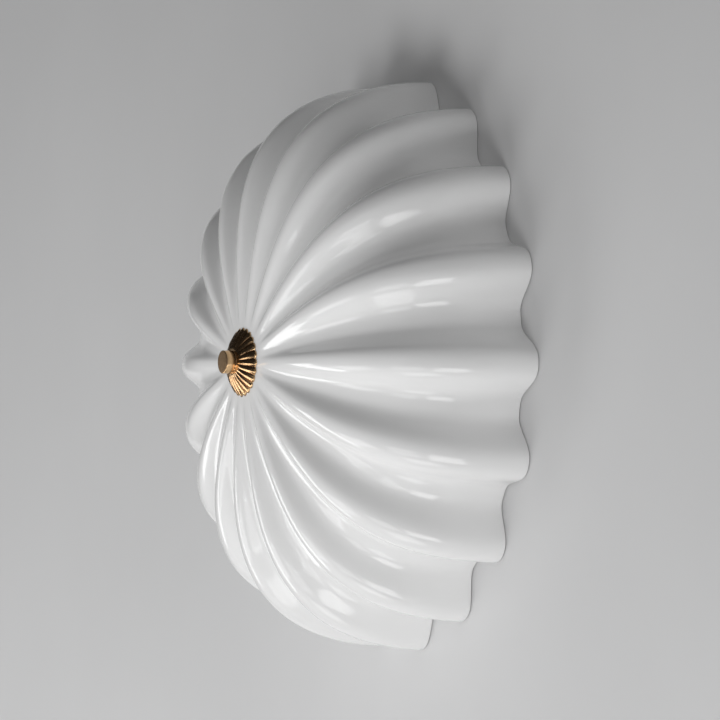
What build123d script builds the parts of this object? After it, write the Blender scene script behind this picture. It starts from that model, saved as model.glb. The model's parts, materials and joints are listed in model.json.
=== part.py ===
"""Shell wall light: a fluted ceramic dome held off the wall by one threaded stem.

The origin is on the wall, behind the middle of the back plate.
+Y goes into the wall, so the light stands out along -Y, +X is to the right and +Z is up.
"Out" is the distance from the wall. All sizes are in millimetres.
"""

from build123d import *
import math
import os

os.makedirs("parts", exist_ok=True)

# ---------------------------------------------------------------- driving dimensions

# Fluted shade
rim_radius = 175.0          # over the crests of the flutes, at the rim
dome_height = 108.5         # from the rim to the flat seat at the top
shade_wall = 5.0            # fired ceramic
rim_gap = 0.4               # between the rim and the wall
flute_count = 18
flute_depth = 20.3          # crest to valley at the rim
first_crest_angle = 1.1     # from +X towards +Z, in degrees
seat_radius = 22.0          # flat round seat under the cap, where the flutes start
hole_radius = 7.0           # hole in the seat for the stem

# Threaded stem, nuts and washers
stem_radius = 4.0
stem_start = 1.6            # the stem's back end stays this far off the wall
thread_pitch = 1.25
nut_flats = 13.0
nut_height = 6.5
back_nut_height = 4.0
nut_corner_ratio = 1.12     # circle that takes a nut's corners off, over the one inside its flats
tooth_washer_radius = 7.5
tooth_washer_thickness = 1.0
tooth_count = 10
tooth_notch_depth = 2.5     # half of it cuts into the washer
tooth_notch_width = 1.5
support_washer_radius = 18.0
support_washer_thickness = 1.5
washer_edge = 0.3
inner_gasket_thickness = 2.0
outer_gasket_thickness = 1.0

# Pleated cap and finial knob
cap_radius = 21.0           # over the pleats, at the lower edge
cap_shoulder_radius = 15.3
cap_shoulder_height = 4.1
cap_crown_radius = 8.2
cap_height = 6.9
pleat_count = 24
pleat_depth = 1.5           # at the lower edge
pleat_fade = 0.75           # share of the depth that is lost on the way to the crown
cap_recess_depth = 0.8
cap_recess_radius = 17.8
knob_radius = 7.0
knob_length = 6.3
knob_groove_depth = 0.35
knob_groove_width = 0.4
knob_foot_height = 0.6
knob_edge = 0.45
knob_bore_depth = 4.7
knob_end_play = 0.4         # from the stem's end to the bottom of the knob's bore

# Back plate
plate_radius = 119.5
plate_thickness = 1.5
plate_lip_height = 9.0
boss_radius = 66.0          # raised middle that leaves room for wiring behind it
boss_lift = 8.0
boss_slope = 45.0           # of the pressed step around the middle, in degrees
slot_pitch = 190.0          # between the two wall slots, up and down
slot_length = 16.0
slot_width = 5.0

# Cable entry
grommet_inset = 11.0        # from the edge of the raised middle to the grommet's axis
grommet_hole_radius = 6.5
grommet_bore_radius = 4.0
grommet_lip = 2.5
grommet_lip_thickness = 2.0

# Lamps, which lie along X, one to each side
lamp_out = 44.0             # lamp axis to wall
bulb_radius = 22.5
bulb_length = 51.0          # glass, from the collar to the end
neck_radius = 8.0
globe_join_angle = 38.0     # where the neck's curve meets the ball, from its axis
glass_overlap = 2.5         # how far the neck goes into the collar
cap_shell_radius = 6.9      # screw cap, over the thread
cap_shell_length = 13.5
collar_radius = 8.9
collar_length = 6.0
insulator_length = 2.5
insulator_nose_radius = 3.36
contact_radius = 2.4
contact_length = 2.0
lamp_pitch = 2.82
thread_depth = 0.5

# Lampholders
bracket_reach = 24.0        # stem axis to the back of the upright
bracket_thickness = 1.5
bracket_width = 24.0
bracket_foot_length = 20.0
bracket_head = 12.5         # upright above the lamp axis
bracket_foot_corner = 4.0
holder_radius = 14.0
holder_length = 32.0
holder_base = 5.5
holder_wall = 2.2
nipple_radius = 4.9
nipple_length = 6.5
nipple_bore_radius = 3.3
nipple_nut_radius = 8.0
nipple_nut_thickness = 3.5
shell_thickness = 0.5
shell_length = 19.0
tongue_width = 4.0
tongue_thickness = 0.4
tongue_rise = 4.3
tongue_foot = 5.5

# Small screws
bracket_screw_radius = 2.0
bracket_screw_head_radius = 3.8
bracket_screw_head_height = 2.4
bracket_screw_pitch = 12.0
bracket_screw_reach = 37.0  # stem axis to the screws
small_nut_flats = 7.0
small_nut_height = 3.2
screw_slot_width = 0.9
screw_top_share = 0.6       # flat top of a screw's head, over the whole head

# Terminal block
pole_pitch = 10.0
pole_count = 3
block_width = 8.4           # one pole
block_length = 17.0
block_height = 12.0
block_waist_share = 0.55    # length of the web between two poles, over the whole length
block_gap = 1.0             # between the block and the grommet's lip
pole_bore_radius = 3.0
pole_out = 6.6              # bore axis above the plate
insert_wall = 0.6
insert_length = 15.0
insert_web = 1.0            # wire stop in the middle of each brass insert
clamp_screw_radius = 1.5
clamp_screw_length = 5.0
clamp_screw_spread = 8.0
clamp_slot_width = 0.6
clamp_slot_turn = 30.0
tower_wall = 1.7            # nylon around each clamping screw
fixing_screw_radius = 1.25
fixing_head_radius = 1.95
fixing_head_height = 1.5
fixing_seat = 2.0           # block left under the fixing screw's head
fixing_screw_reach = 3.0    # past the back of the plate

# Wires
wire_radius = 1.0
wire_spread = 1.4           # each wire off the holder's axis
wire_pair = 1.15            # each wire off the middle of its pole
earth_wire_radius = 1.2
wire_entry = 9.0            # straight run of wire above the terminal block
bend_share = 0.45           # of the shorter run, which a bend takes up
upper_bend_reach = 10.0     # where the upper wire of a pair bends down
lower_bend_reach = 13.0     # and the lower one
crossing_entry = 6.2        # straight run of the crossing wire above the terminal block
cross_reach = -1.0          # the crossing wire passes below the stem here
cross_out = 34.0
cross_drop = 15.0
earth_x = 27.0
earth_z = -40.0
earth_loop_drop = 17.5      # below the stem, where the earth wire crosses over
tag_radius = 4.4
tag_thickness = 0.8
tag_barrel_length = 5.0
tag_barrel_radius = 1.7
tag_neck_length = 2.0

# Clearances
running_gap = 0.05          # knob on stem
fit_gap = 0.1               # pieces that stay together
free_gap = 0.3              # pieces that come apart
screw_hole_gap = 0.2        # around a screw in the plate

# ---------------------------------------------------------------- places that follow

seat_out = rim_gap + dome_height
seat_back = seat_out - shade_wall
support_out = seat_back - inner_gasket_thickness - support_washer_thickness
plate_face = boss_lift + plate_thickness
cap_out = seat_out + outer_gasket_thickness - cap_recess_depth
knob_out = cap_out + cap_height
stem_end = knob_out + knob_bore_depth - knob_end_play

holder_start = bracket_reach + bracket_thickness
socket_floor = holder_start + holder_base
contact_start = socket_floor + tongue_rise + tongue_thickness + free_gap
shell_start = contact_start + contact_length + insulator_length
collar_start = shell_start + cap_shell_length
glass_start = collar_start + collar_length - glass_overlap
shell_bore_radius = cap_shell_radius + free_gap
socket_radius = shell_bore_radius + thread_depth + shell_thickness + fit_gap
holder_mouth_radius = collar_radius + free_gap
wire_out = plate_face + pole_out

grommet_drop = boss_radius - grommet_inset
grommet_lip_radius = grommet_hole_radius + grommet_lip
block_bottom = grommet_lip_radius + block_gap - grommet_drop
block_top = block_bottom + block_length
block_middle_z = (block_top + block_bottom) / 2

sides = (("left", -1), ("right", 1))


# ---------------------------------------------------------------- planes and axes


def wall_plane(out):
    """Plane parallel to the wall, facing the room: local x is X and local y is Z."""
    return Plane(origin=(0, -out, 0), x_dir=(1, 0, 0), z_dir=(0, -1, 0))


def turned_plane(x=0.0, z=0.0):
    """Plane for turned profiles square to the wall: local x is the radius, local y is out."""
    return Plane(origin=(x, 0, z), x_dir=(1, 0, 0), z_dir=(0, 0, -1))


def out_axis(x=0.0, z=0.0):
    """Axis square to the wall, pointing into the room."""
    return Axis((x, 0, z), (0, -1, 0))


def radial_plane(angle):
    """Plane through the stem axis at an angle from +X: local x is the radius, local y is out."""
    turn = math.radians(angle)
    return Plane(
        origin=(0, 0, 0),
        x_dir=(math.cos(turn), 0, math.sin(turn)),
        z_dir=(math.sin(turn), 0, -math.cos(turn)),
    )


def lamp_plane(side):
    """Plane for profiles turned about a lamp: local x is the radius, local y is the reach."""
    return Plane(origin=(0, -lamp_out, 0), x_dir=(0, -1, 0), z_dir=(0, 0, side))


def lamp_axis(side):
    """Axis of a lamp, pointing away from the stem."""
    return Axis((0, -lamp_out, 0), (side, 0, 0))


def reach_plane(side, reach):
    """Plane square to a lamp axis, at a distance from the stem axis."""
    return Plane(origin=(side * reach, -lamp_out, 0), x_dir=(0, 0, 1), z_dir=(side, 0, 0))


def side_plane(side):
    """Plane for bent strips: local x is the reach along a lamp, local y is out."""
    return Plane(origin=(0, 0, 0), x_dir=(side, 0, 0), z_dir=(0, 0, -side))


def level_plane(x, out, z):
    """Plane that faces up: local x is X and local y goes into the wall."""
    return Plane(origin=(x, -out, z), x_dir=(1, 0, 0), z_dir=(0, 0, 1))


def save(part, name):
    """Label a finished piece and write it."""
    part.label = name
    export_step(part, f"parts/{name}.step")


# ---------------------------------------------------------------- fluted shade

# The profile over a crest and the one along a valley are two curves with the same number of
# control points. Each is a share of the way from the seat to the rim, and of the height.
crest_shares = ((0.0, 1.0), (0.256, 1.0), (0.622, 1.017), (0.887, 0.842), (0.986, 0.451), (1.0, 0.0))

# From each crest point to the valley point, in flute depths: next to nothing beside the seat.
valley_steps = ((0.0, 0.0), (-0.05, -0.06), (-0.7, -0.76), (-0.65, -0.29), (-0.74, 0.04), (-1.0, 0.0))

# From each outer point to the inner one, in wall thicknesses.
inward_steps = ((0.0, -1.0), (0.0, -1.0), (-0.36, -0.88), (-0.76, -0.52), (-1.0, -0.08), (-1.0, 0.0))

# The wave across one flute has a rounded crest and a broad valley.
wave_second = 0.05
wave_third = -0.0877

crest_points = [
    (seat_radius + share * (rim_radius - seat_radius), rim_gap + rise * dome_height)
    for share, rise in crest_shares
]
flute_pitch = 360 / flute_count
sections_per_side = 6


def wave(angle):
    """0 on a crest and 1 in a valley."""
    phase = math.radians(angle * flute_count)
    first = (1 - math.cos(phase)) / 2
    second = (1 - math.cos(2 * phase)) / 2
    third = (math.cos(phase) - math.cos(3 * phase)) / 2
    return first + wave_second * second + wave_third * third


def moved(points, steps, amount):
    """Control points, each moved by its step times an amount."""
    return [(r + dr * amount, out + dout * amount) for (r, out), (dr, dout) in zip(points, steps)]


with BuildPart() as flute:
    for section in range(-sections_per_side, sections_per_side + 1):
        angle = section * flute_pitch / 2 / sections_per_side
        outer_points = moved(crest_points, valley_steps, flute_depth * wave(angle))
        inner_points = moved(outer_points, inward_steps, shade_wall)
        with BuildSketch(radial_plane(angle)):
            with BuildLine():
                outer = Bezier(*outer_points)
                inner = Bezier(*inner_points)
                Line(outer @ 1, inner @ 1)
                Polyline(inner @ 0, (hole_radius, seat_back), (hole_radius, seat_out), outer @ 0)
            make_face()
    loft()

flute_angles = [first_crest_angle + number * flute_pitch for number in range(flute_count)]
flutes = [flute.part.rotate(out_axis(), angle) for angle in flute_angles]
with BuildPart() as shade:
    add(flutes)
save(shade.part, "shade")

# Nylon bush that keeps the stem off the ceramic
with BuildPart() as hole_bush:
    with BuildSketch(wall_plane(seat_back)):
        Circle(hole_radius - fit_gap)
        Circle(stem_radius + free_gap, mode=Mode.SUBTRACT)
    extrude(amount=shade_wall)
save(hole_bush.part, "hole_bush")

# Silicone ring between the ceramic and the cap
with BuildPart() as outer_gasket:
    with BuildSketch(wall_plane(seat_out)):
        Circle(cap_recess_radius - free_gap)
        Circle(stem_radius + free_gap, mode=Mode.SUBTRACT)
    extrude(amount=outer_gasket_thickness)
save(outer_gasket.part, "outer_gasket")


# ---------------------------------------------------------------- pleated cap and knob

cap_bore_radius = stem_radius + free_gap
pleat_pitch = 360 / pleat_count
sections_per_slope = 3

# One pleat, from the groove on one side over the ridge to the groove on the other
with BuildPart() as pleat:
    for section in range(-sections_per_slope, sections_per_slope + 1):
        share = section / sections_per_slope
        dip = pleat_depth * (1 - math.cos(math.pi * share)) / 2
        with BuildSketch(radial_plane(share * pleat_pitch / 2)):
            with BuildLine():
                side = ThreePointArc(
                    (cap_radius - dip, cap_out),
                    (cap_shoulder_radius - dip * (1 - pleat_fade / 2), cap_out + cap_shoulder_height),
                    (cap_crown_radius - dip * (1 - pleat_fade), cap_out + cap_height),
                )
                Polyline(
                    side @ 1,
                    (cap_bore_radius, cap_out + cap_height),
                    (cap_bore_radius, cap_out + cap_recess_depth),
                    (cap_recess_radius, cap_out + cap_recess_depth),
                    (cap_recess_radius, cap_out),
                    side @ 0,
                )
            make_face()
    loft()

pleats = [pleat.part.rotate(out_axis(), number * pleat_pitch) for number in range(pleat_count)]
with BuildPart() as cap:
    add(pleats)
save(cap.part, "pleated_cap")

with BuildPart() as knob:
    with BuildSketch(turned_plane()):
        groove_start = knob_out + knob_foot_height
        groove_end = groove_start + knob_groove_width
        groove_radius = knob_radius - knob_groove_depth
        bore_end = knob_out + knob_bore_depth
        bore = stem_radius + running_gap
        with BuildLine():
            Polyline(
                (0, bore_end),
                (bore, bore_end),
                (bore, knob_out),
                (knob_radius, knob_out),
                (knob_radius, groove_start),
                (groove_radius, groove_start),
                (groove_radius, groove_end),
                (knob_radius, groove_end),
                (knob_radius, knob_out + knob_length),
                (0, knob_out + knob_length),
                close=True,
            )
        make_face()
    revolve(axis=out_axis())
    chamfer(knob.faces().sort_by(Axis.Y)[0].edges(), knob_edge)
save(knob.part, "finial_knob")


# ---------------------------------------------------------------- back plate and cable grommet

bend = plate_thickness * math.tan(math.radians(boss_slope / 2))
slope_end = boss_radius + boss_lift / math.tan(math.radians(boss_slope))
inner_lip_radius = plate_radius - plate_thickness
plate_hole_radius = stem_radius + fit_gap

screw_places = [
    (side * bracket_screw_reach, row * bracket_screw_pitch / 2) for _, side in sides for row in (-1, 1)
]
fixing_x = -pole_pitch / 2

with BuildPart() as back_plate:
    with BuildSketch(turned_plane()):
        with BuildLine():
            Polyline(
                (plate_hole_radius, boss_lift),
                (boss_radius, boss_lift),
                (slope_end, 0),
                (plate_radius, 0),
                (plate_radius, plate_lip_height),
                (inner_lip_radius, plate_lip_height),
                (inner_lip_radius, plate_thickness),
                (slope_end + bend, plate_thickness),
                (boss_radius + bend, plate_face),
                (plate_hole_radius, plate_face),
                close=True,
            )
        make_face()
    revolve(axis=out_axis())
    rim_edges = back_plate.edges().filter_by(GeomType.CIRCLE).group_by(Axis.Y)[-1]
    fillet(rim_edges.sort_by(SortBy.RADIUS)[-1], plate_thickness)
    with BuildSketch(wall_plane(0)):
        with Locations((0, slot_pitch / 2), (0, -slot_pitch / 2)):
            SlotOverall(slot_length, slot_width, rotation=90)
        with Locations((0, -grommet_drop)):
            Circle(grommet_hole_radius)
        with Locations(*screw_places):
            Circle(bracket_screw_radius + screw_hole_gap)
        with Locations((fixing_x, block_middle_z)):
            Circle(fixing_screw_radius + screw_hole_gap)
        with Locations((earth_x, earth_z)):
            Circle(bracket_screw_radius + screw_hole_gap)
    extrude(amount=plate_face, mode=Mode.SUBTRACT)
save(back_plate.part, "back_plate")

groove_radius = grommet_hole_radius - fit_gap
with BuildPart() as grommet:
    with BuildSketch(turned_plane(z=-grommet_drop)):
        with BuildLine():
            Polyline(
                (grommet_bore_radius, boss_lift - grommet_lip_thickness),
                (grommet_lip_radius, boss_lift - grommet_lip_thickness),
                (grommet_lip_radius, boss_lift),
                (groove_radius, boss_lift),
                (groove_radius, plate_face),
                (grommet_lip_radius, plate_face),
                (grommet_lip_radius, plate_face + grommet_lip_thickness),
                (grommet_bore_radius, plate_face + grommet_lip_thickness),
                close=True,
            )
        make_face()
    revolve(axis=out_axis(z=-grommet_drop))
    lips = grommet.edges().filter_by(GeomType.CIRCLE).group_by(SortBy.RADIUS)[-1]
    fillet(lips.sort_by(Axis.Y)[0], grommet_lip_thickness / 2)
    fillet(lips.sort_by(Axis.Y)[-1], grommet_lip_thickness / 2)
save(grommet.part, "cable_grommet")


# ---------------------------------------------------------------- stem, nuts and washers

with BuildPart() as stem:
    with BuildSketch(wall_plane(stem_start)):
        Circle(stem_radius)
    extrude(amount=stem_end - stem_start)
    chamfer(stem.edges().filter_by(GeomType.CIRCLE), thread_pitch / 2)
save(stem.part, "stem")


def hex_nut(across_flats, height, bore_radius, out, places=((0, 0),)):
    """Hexagon nuts that stand on a plane parallel to the wall, with the corners taken off."""
    with BuildPart() as nut:
        with BuildSketch(wall_plane(out)):
            with Locations(*places):
                RegularPolygon(across_flats / 2, 6, major_radius=False)
                Circle(bore_radius, mode=Mode.SUBTRACT)
        extrude(amount=height)
        with BuildSketch(wall_plane(out)):
            with Locations(*places):
                Circle(across_flats / 2 * nut_corner_ratio)
        extrude(amount=height, mode=Mode.INTERSECT)
    return nut.part


tooth_washer_out = boss_lift - tooth_washer_thickness
stem_bore_radius = stem_radius + fit_gap

save(
    hex_nut(nut_flats, back_nut_height, stem_bore_radius, tooth_washer_out - back_nut_height),
    "stem_back_nut",
)
save(hex_nut(nut_flats, nut_height, stem_bore_radius, plate_face), "stem_front_nut")
save(hex_nut(nut_flats, nut_height, stem_bore_radius, support_out - nut_height), "depth_nut")

with BuildPart() as tooth_washer:
    with BuildSketch(wall_plane(tooth_washer_out)):
        Circle(tooth_washer_radius)
        Circle(stem_bore_radius, mode=Mode.SUBTRACT)
        with PolarLocations(tooth_washer_radius, tooth_count):
            Rectangle(tooth_notch_depth, tooth_notch_width, mode=Mode.SUBTRACT)
    extrude(amount=tooth_washer_thickness)
save(tooth_washer.part, "tooth_washer")

with BuildPart() as support_washer:
    with BuildSketch(wall_plane(support_out)):
        Circle(support_washer_radius)
        Circle(stem_bore_radius, mode=Mode.SUBTRACT)
    extrude(amount=support_washer_thickness)
    outer_edges = support_washer.edges().filter_by(GeomType.CIRCLE).group_by(SortBy.RADIUS)[-1]
    chamfer(outer_edges, washer_edge)
save(support_washer.part, "support_washer")

with BuildPart() as inner_gasket:
    with BuildSketch(wall_plane(seat_back - inner_gasket_thickness)):
        Circle(support_washer_radius - fit_gap)
        Circle(stem_bore_radius, mode=Mode.SUBTRACT)
    extrude(amount=inner_gasket_thickness)
save(inner_gasket.part, "inner_gasket")


# ---------------------------------------------------------------- lampholders and brackets

bracket_end = bracket_reach + bracket_foot_length
bracket_top = lamp_out + bracket_head
foot_top = plate_face + bracket_thickness
nipple_start = holder_start - nipple_length
nut_end = bracket_reach
nut_start = nut_end - nipple_nut_thickness


def ring_wave(start, length, low, high, pitch):
    """Points along a rolled thread, in and out once for each pitch."""
    turns = int(length / pitch)
    points = [(low, start)]
    for number in range(turns):
        points.append((high, start + (number + 0.5) * pitch))
        points.append((low, start + (number + 1) * pitch))
    return points


for name, side in sides:
    # Bent steel bracket: a foot on the plate and an upright with a round head
    with BuildPart() as bracket:
        with BuildSketch(side_plane(side)):
            with BuildLine():
                Polyline(
                    (bracket_reach, plate_face),
                    (bracket_end, plate_face),
                    (bracket_end, foot_top),
                    (holder_start, foot_top),
                    (holder_start, bracket_top),
                    (bracket_reach, bracket_top),
                    close=True,
                )
            make_face()
        extrude(amount=bracket_width / 2, both=True)
        head_corners = bracket.edges().filter_by(Axis.X).group_by(Axis.Y)[0]
        fillet(head_corners, bracket_width / 2 - fit_gap)
        foot_corners = bracket.edges().filter_by(Axis.Y).sort_by(Axis.X, reverse=side > 0)[:2]
        fillet(foot_corners, bracket_foot_corner)
        with BuildSketch(reach_plane(side, bracket_reach)):
            Circle(nipple_radius + fit_gap)
        extrude(amount=bracket_thickness, mode=Mode.SUBTRACT)
        with BuildSketch(wall_plane(plate_face)):
            with Locations(*screw_places):
                Circle(bracket_screw_radius + screw_hole_gap)
        extrude(amount=bracket_thickness, mode=Mode.SUBTRACT)
    save(bracket.part, f"bracket_{name}")

    # Moulded holder with a threaded nipple behind and a wide mouth for the lamp's collar
    with BuildPart() as holder:
        with BuildSketch(lamp_plane(side)):
            holder_end = holder_start + holder_length
            mouth_start = collar_start - free_gap
            with BuildLine():
                Polyline(
                    (nipple_bore_radius, nipple_start),
                    (nipple_radius, nipple_start),
                    (nipple_radius, holder_start),
                    (holder_radius, holder_start),
                    (holder_radius, holder_end),
                    (holder_mouth_radius + holder_wall, holder_end),
                    (holder_mouth_radius, holder_end - holder_wall),
                    (holder_mouth_radius, mouth_start),
                    (socket_radius, mouth_start),
                    (socket_radius, socket_floor),
                    (nipple_bore_radius, socket_floor),
                    close=True,
                )
            make_face()
        revolve(axis=lamp_axis(side))
        back_rim = holder.edges().filter_by(GeomType.CIRCLE).group_by(SortBy.RADIUS)[-1]
        fillet(back_rim.sort_by(Axis.X, reverse=side > 0)[-1], holder_wall / 2)
    save(holder.part, f"lampholder_{name}")

    # Rolled brass shell that the lamp screws into
    with BuildPart() as shell:
        with BuildSketch(lamp_plane(side)):
            rings = ring_wave(
                socket_floor, shell_length, shell_bore_radius, shell_bore_radius + thread_depth, lamp_pitch
            )
            shell_end = rings[-1][1]
            outer_radius = shell_bore_radius + thread_depth + shell_thickness
            with BuildLine():
                Spline(*rings)
                Polyline(rings[-1], (outer_radius, shell_end), (outer_radius, socket_floor), rings[0])
            make_face()
        revolve(axis=lamp_axis(side))
    save(shell.part, f"holder_shell_{name}")

    # Sprung centre contact, bent from strip
    with BuildPart() as tongue:
        with BuildSketch(side_plane(side)):
            foot_start = lamp_out - nipple_bore_radius - tongue_foot / 2
            with BuildLine():
                Polyline(
                    (socket_floor, foot_start),
                    (socket_floor + tongue_thickness, foot_start),
                    (socket_floor + tongue_thickness, foot_start + tongue_foot / 2),
                    (socket_floor + tongue_rise + tongue_thickness, lamp_out - contact_radius / 2),
                    (socket_floor + tongue_rise + tongue_thickness, lamp_out + contact_radius),
                    (socket_floor + tongue_rise, lamp_out + contact_radius),
                    (socket_floor + tongue_rise, lamp_out - contact_radius / 2),
                    (socket_floor, foot_start + tongue_foot / 2 + tongue_thickness),
                    close=True,
                )
            make_face()
        extrude(amount=tongue_width / 2, both=True)
    save(tongue.part, f"holder_tongue_{name}")

# Ring nuts on the holders' nipples
with BuildPart() as nipple_nuts:
    for _, side in sides:
        with BuildSketch(reach_plane(side, nut_start)):
            RegularPolygon(nipple_nut_radius, 6, major_radius=False)
            Circle(nipple_radius + fit_gap, mode=Mode.SUBTRACT)
        extrude(amount=nipple_nut_thickness)
save(nipple_nuts.part, "nipple_nuts")

# Screws and nuts that hold the brackets to the plate
screw_tip = boss_lift - small_nut_height - fit_gap
with BuildPart() as bracket_screws:
    for x, z in screw_places:
        with BuildSketch(turned_plane(x, z)):
            with BuildLine():
                Polyline(
                    (0, screw_tip),
                    (bracket_screw_radius, screw_tip),
                    (bracket_screw_radius, foot_top),
                    (bracket_screw_head_radius, foot_top),
                    (bracket_screw_head_radius, foot_top + bracket_screw_head_height / 2),
                    (bracket_screw_head_radius * screw_top_share, foot_top + bracket_screw_head_height),
                    (0, foot_top + bracket_screw_head_height),
                    close=True,
                )
            make_face()
        revolve(axis=out_axis(x, z))
    with BuildSketch(wall_plane(foot_top + bracket_screw_head_height / 2)):
        with Locations(*screw_places):
            Rectangle(2 * bracket_screw_head_radius, screw_slot_width)
    extrude(amount=bracket_screw_head_height, mode=Mode.SUBTRACT)
save(bracket_screws.part, "bracket_screws")

nut_places = screw_places + [(earth_x, earth_z)]
save(
    hex_nut(
        small_nut_flats,
        small_nut_height,
        bracket_screw_radius + fit_gap,
        boss_lift - small_nut_height,
        nut_places,
    ),
    "small_nuts",
)


# ---------------------------------------------------------------- lamps


for name, side in sides:
    # Centre contact, a domed button
    with BuildPart() as contact:
        with BuildSketch(lamp_plane(side)):
            with BuildLine():
                Polyline(
                    (0, contact_start),
                    (contact_radius / 2, contact_start),
                    (contact_radius, contact_start + contact_length / 2),
                    (contact_radius, contact_start + contact_length),
                    (0, contact_start + contact_length),
                    close=True,
                )
            make_face()
        revolve(axis=lamp_axis(side))
    save(contact.part, f"lamp_contact_{name}")

    # Black insulator cone between the contact and the screw cap
    insulator_start = contact_start + contact_length
    with BuildPart() as insulator:
        with BuildSketch(lamp_plane(side)):
            with BuildLine():
                Polyline(
                    (0, insulator_start),
                    (insulator_nose_radius, insulator_start),
                    (cap_shell_radius - thread_depth, shell_start),
                    (0, shell_start),
                    close=True,
                )
            make_face()
        revolve(axis=lamp_axis(side))
    save(insulator.part, f"lamp_insulator_{name}")

    # Screw cap with a rolled thread and a plain collar that takes the glass
    with BuildPart() as screw_cap:
        with BuildSketch(lamp_plane(side)):
            rings = ring_wave(
                shell_start, cap_shell_length, cap_shell_radius - thread_depth, cap_shell_radius, lamp_pitch
            )
            collar_end = collar_start + collar_length
            neck_bore = neck_radius + fit_gap
            with BuildLine():
                Spline(*rings)
                Polyline(
                    rings[-1],
                    (cap_shell_radius - thread_depth, collar_start),
                    (collar_radius, collar_start + thread_depth),
                    (collar_radius, collar_end),
                    (neck_bore, collar_end),
                    (neck_bore, glass_start),
                    (0, glass_start),
                    (0, shell_start),
                    rings[0],
                )
            make_face()
        revolve(axis=lamp_axis(side))
    save(screw_cap.part, f"lamp_screw_cap_{name}")

    # Opal glass globe with a short neck
    ball_middle = glass_start + bulb_length - bulb_radius
    with BuildPart() as globe:
        with BuildSketch(lamp_plane(side)):
            join_angle = math.radians(globe_join_angle)
            join = (bulb_radius * math.sin(join_angle), ball_middle - bulb_radius * math.cos(join_angle))
            neck_end = (neck_radius, collar_end)
            with BuildLine():
                Line((0, glass_start), (neck_radius, glass_start))
                Line((neck_radius, glass_start), neck_end)
                Spline(
                    neck_end,
                    join,
                    tangents=((0, 1), (math.cos(join_angle), math.sin(join_angle))),
                )
                ThreePointArc(join, (bulb_radius, ball_middle), (0, ball_middle + bulb_radius))
                Line((0, ball_middle + bulb_radius), (0, glass_start))
            make_face()
        revolve(axis=lamp_axis(side))
    save(globe.part, f"lamp_globe_{name}")


# ---------------------------------------------------------------- terminal block and earth

pole_xs = [(number - (pole_count - 1) / 2) * pole_pitch for number in range(pole_count)]
block_span = (pole_count - 1) * pole_pitch
tower_radius = clamp_screw_radius + tower_wall
clamp_rows = [block_middle_z + row * clamp_screw_spread / 2 for row in (-1, 1)]
clamp_places = [(x, z) for x in pole_xs for z in clamp_rows]

with BuildPart() as terminal_block:
    with BuildSketch(wall_plane(plate_face)):
        with Locations((0, block_middle_z)):
            Rectangle(block_span + block_width, block_length * block_waist_share)
            with Locations(*[(x, 0) for x in pole_xs]):
                Rectangle(block_width, block_length)
    extrude(amount=pole_out)
    with BuildSketch(level_plane(0, wire_out, block_bottom)):
        with Locations(*[(x, 0) for x in pole_xs]):
            Circle(block_width / 2)
    extrude(amount=block_length)
    with BuildSketch(wall_plane(wire_out)):
        with Locations(*clamp_places):
            Circle(tower_radius)
    extrude(amount=block_height - pole_out)
    with BuildSketch(level_plane(0, wire_out, block_bottom)):
        with Locations(*[(x, 0) for x in pole_xs]):
            Circle(pole_bore_radius)
    extrude(amount=block_length, mode=Mode.SUBTRACT)
    with BuildSketch(wall_plane(wire_out)):
        with Locations(*clamp_places):
            Circle(clamp_screw_radius + fit_gap)
    extrude(amount=block_height, mode=Mode.SUBTRACT)
    with BuildSketch(wall_plane(plate_face)):
        with Locations((fixing_x, block_middle_z)):
            Circle(fixing_screw_radius + fit_gap)
    extrude(amount=pole_out, mode=Mode.SUBTRACT)
    seat_start = plate_face + fixing_seat
    with BuildSketch(wall_plane(seat_start)):
        with Locations((fixing_x, block_middle_z)):
            Circle(fixing_head_radius + fit_gap)
    extrude(amount=block_height, mode=Mode.SUBTRACT)
save(terminal_block.part, "terminal_block")

insert_start = block_middle_z - insert_length / 2
insert_bore_radius = pole_bore_radius - insert_wall
with BuildPart() as terminal_inserts:
    with BuildSketch(level_plane(0, wire_out, insert_start)):
        with Locations(*[(x, 0) for x in pole_xs]):
            Circle(pole_bore_radius - fit_gap)
    extrude(amount=insert_length)
    for end in (insert_start, block_middle_z + insert_web / 2):
        with BuildSketch(level_plane(0, wire_out, end)):
            with Locations(*[(x, 0) for x in pole_xs]):
                Circle(insert_bore_radius)
        extrude(amount=(insert_length - insert_web) / 2, mode=Mode.SUBTRACT)
    with BuildSketch(wall_plane(wire_out)):
        with Locations(*clamp_places):
            Circle(clamp_screw_radius + fit_gap)
    extrude(amount=pole_bore_radius, mode=Mode.SUBTRACT)
save(terminal_inserts.part, "terminal_inserts")

# The row towards the stem clamps the lamps' wires; the other is backed off for the mains.
open_tip = wire_out + insert_bore_radius + fit_gap
closed_tip = wire_out + max(wire_radius, earth_wire_radius) + fit_gap
with BuildPart() as clamp_screws:
    for z, tip in zip(clamp_rows, (open_tip, closed_tip)):
        with BuildSketch(wall_plane(tip)):
            with Locations(*[(x, z) for x in pole_xs]):
                Circle(clamp_screw_radius)
        extrude(amount=clamp_screw_length)
        with BuildSketch(wall_plane(tip + clamp_screw_length - screw_slot_width)):
            with Locations(*[(x, z) for x in pole_xs]):
                Rectangle(2 * clamp_screw_radius, clamp_slot_width, rotation=clamp_slot_turn)
        extrude(amount=screw_slot_width, mode=Mode.SUBTRACT)
save(clamp_screws.part, "clamp_screws")

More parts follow.
